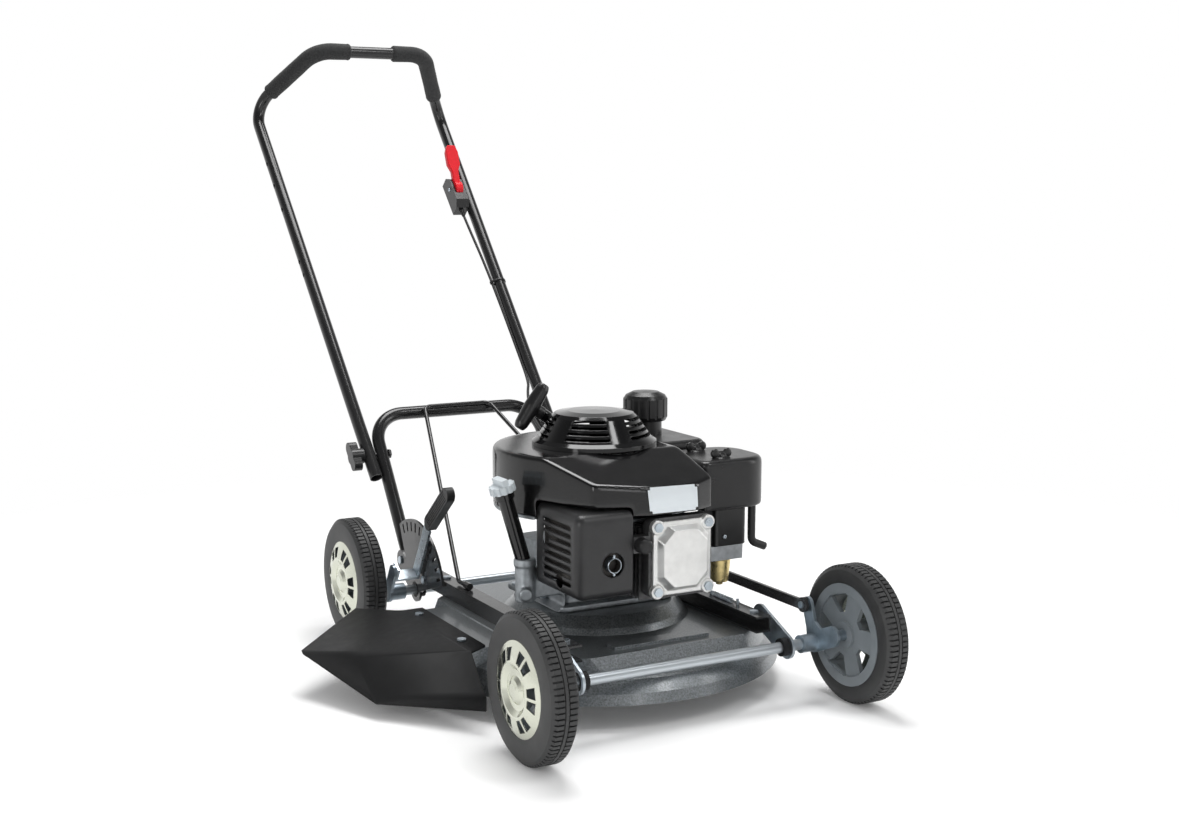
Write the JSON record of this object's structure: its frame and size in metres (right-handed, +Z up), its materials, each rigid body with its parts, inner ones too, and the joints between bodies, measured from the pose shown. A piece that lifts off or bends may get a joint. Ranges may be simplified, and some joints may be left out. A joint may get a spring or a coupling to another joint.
{
  "type": "walk-behind rotary mower",
  "caption": "Walk-behind petrol rotary mower with a round steel deck, side discharge chute, vertical-shaft engine, lever-adjusted wheel height and a folding tube handle.",
  "frame": {"origin": "on the ground, midway between the axles on the centre line", "axes": "+X to the mower's left, +Y to the rear where the handle is, +Z up"},
  "size_m": [0.7162, 1.4133, 0.9955],
  "materials": {
    "deck_paint": "hammered grey paint",
    "black_paint": "gloss black paint",
    "zinc_steel": "bright zinc plating",
    "black_plastic": "satin, fine grain",
    "gloss_black": "gloss",
    "grey_plastic": "satin",
    "red_plastic": "satin",
    "silver_cap": "bright plated",
    "tyre": "moulded rubber",
    "foam": "closed-cell foam",
    "rubber": "smooth",
    "cast_aluminium": "as cast",
    "dark_steel": "heat darkened",
    "iron": "machined",
    "blade_steel": "ground"
  },
  "bodies": {
    "chassis": {"deck": "deck_paint", "chassis_rails": "black_paint", "lower_handle": "black_paint", "handle_stay": "black_paint", "chute": "black_plastic", "fasteners": "zinc_steel", "height_quadrant": "black_paint", "shaft_brackets": "black_paint", "shaft_bushes": "black_plastic", "control_cable": "rubber", "crankcase": "cast_aluminium", "cylinder": "cast_aluminium", "valve_cover": "cast_aluminium", "spark_plug_cap": "rubber", "muffler": "dark_steel", "muffler_guard": "black_paint", "engine_shroud": "gloss_black", "recoil_cover": "gloss_black", "recoil_grip": "black_plastic", "fuel_tank": "gloss_black", "air_cleaner": "black_plastic", "carburettor": "cast_aluminium", "linkage_cover": "black_plastic", "breather_hose": "rubber", "oil_filler_tube": "black_plastic", "rail_spring": "zinc_steel"},
    "rear_axle": {"rear_shaft": "zinc_steel", "rear_left_crank": "zinc_steel", "rear_right_crank": "zinc_steel", "height_lever": "zinc_steel", "lever_grip": "rubber"},
    "front_axle": {"front_shaft": "zinc_steel", "front_left_crank": "zinc_steel", "front_right_crank": "zinc_steel"},
    "link": {"link_bar": "black_paint"},
    "upper_handle": {"upper_handle": "black_paint", "left_grip": "foam", "right_grip": "foam", "wing_bolts": "black_plastic", "throttle_housing": "black_plastic", "throttle_cable": "rubber"},
    "throttle": {"throttle_lever": "red_plastic"},
    "drive": {"crankshaft": "iron", "flywheel": "iron", "blade_boss": "iron", "cutting_blade": "blade_steel"},
    "fuel_cap": {"fuel_cap": "black_plastic"},
    "oil_cap": {"oil_cap": "grey_plastic"},
    "front_left_wheel": {"front_left_tyre": "tyre", "front_left_rim": "grey_plastic", "front_left_hubcap": "silver_cap"},
    "front_right_wheel": {"front_right_tyre": "tyre", "front_right_rim": "grey_plastic", "front_right_hubcap": "silver_cap"},
    "rear_left_wheel": {"rear_left_tyre": "tyre", "rear_left_rim": "grey_plastic", "rear_left_hubcap": "silver_cap"},
    "rear_right_wheel": {"rear_right_tyre": "tyre", "rear_right_rim": "grey_plastic", "rear_right_hubcap": "silver_cap"}
  },
  "joints": [
    {"name": "height_adjust", "type": "hinge", "parent": "chassis", "child": "rear_axle", "pos_m": [0, 0.2775, 0.082], "axis": [1, 0, 0], "range_deg": [-57, 19]},
    {"name": "front_crank", "type": "hinge", "parent": "chassis", "child": "front_axle", "pos_m": [0, -0.2775, 0.082], "axis": [1, 0, 0], "range_deg": [-19, 57]},
    {"name": "link_front_pin", "type": "hinge", "parent": "front_axle", "child": "link", "pos_m": [0.2095, -0.26, 0.1342], "axis": [1, 0, 0], "range_deg": [-57, 19]},
    {"name": "front_left_spin", "type": "hinge", "parent": "front_axle", "child": "front_left_wheel", "pos_m": [0.2597, -0.3192, 0.1], "axis": [1, 0, 0], "continuous": true},
    {"name": "front_right_spin", "type": "hinge", "parent": "front_axle", "child": "front_right_wheel", "pos_m": [-0.2597, -0.3192, 0.1], "axis": [1, 0, 0], "continuous": true},
    {"name": "rear_left_spin", "type": "hinge", "parent": "rear_axle", "child": "rear_left_wheel", "pos_m": [0.2597, 0.3192, 0.1], "axis": [1, 0, 0], "continuous": true},
    {"name": "rear_right_spin", "type": "hinge", "parent": "rear_axle", "child": "rear_right_wheel", "pos_m": [-0.2597, 0.3192, 0.1], "axis": [1, 0, 0], "continuous": true},
    {"name": "handle_fold", "type": "hinge", "parent": "chassis", "child": "upper_handle", "pos_m": [0, 0.453, 0.277], "axis": [1, 0, 0], "range_deg": [0, 100], "deforming": ["control_cable"]},
    {"name": "throttle_turn", "type": "hinge", "parent": "upper_handle", "child": "throttle", "pos_m": [0.1648, 0.84208, 0.72189], "axis": [1, 0, 0], "range_deg": [-20, 40]},
    {"name": "blade_spin", "type": "hinge", "parent": "chassis", "child": "drive", "pos_m": [0, -0.014, 0.057], "axis": [0, 0, 1], "continuous": true},
    {"name": "fuel_cap_turn", "type": "hinge", "parent": "chassis", "child": "fuel_cap", "pos_m": [0.14, 0.072, 0.39], "axis": [0, 0, 1], "range_deg": [0, 90]},
    {"name": "oil_cap_turn", "type": "hinge", "parent": "chassis", "child": "oil_cap", "pos_m": [-0.176, -0.066, 0.303], "axis": [-0.2873, 0, 0.9578], "range_deg": [0, 90]}
  ],
  "couplings": [
    {"joint": "front_crank", "follows": "height_adjust", "ratio": -1},
    {"joint": "link_front_pin", "follows": "height_adjust", "ratio": 1}
  ]
}
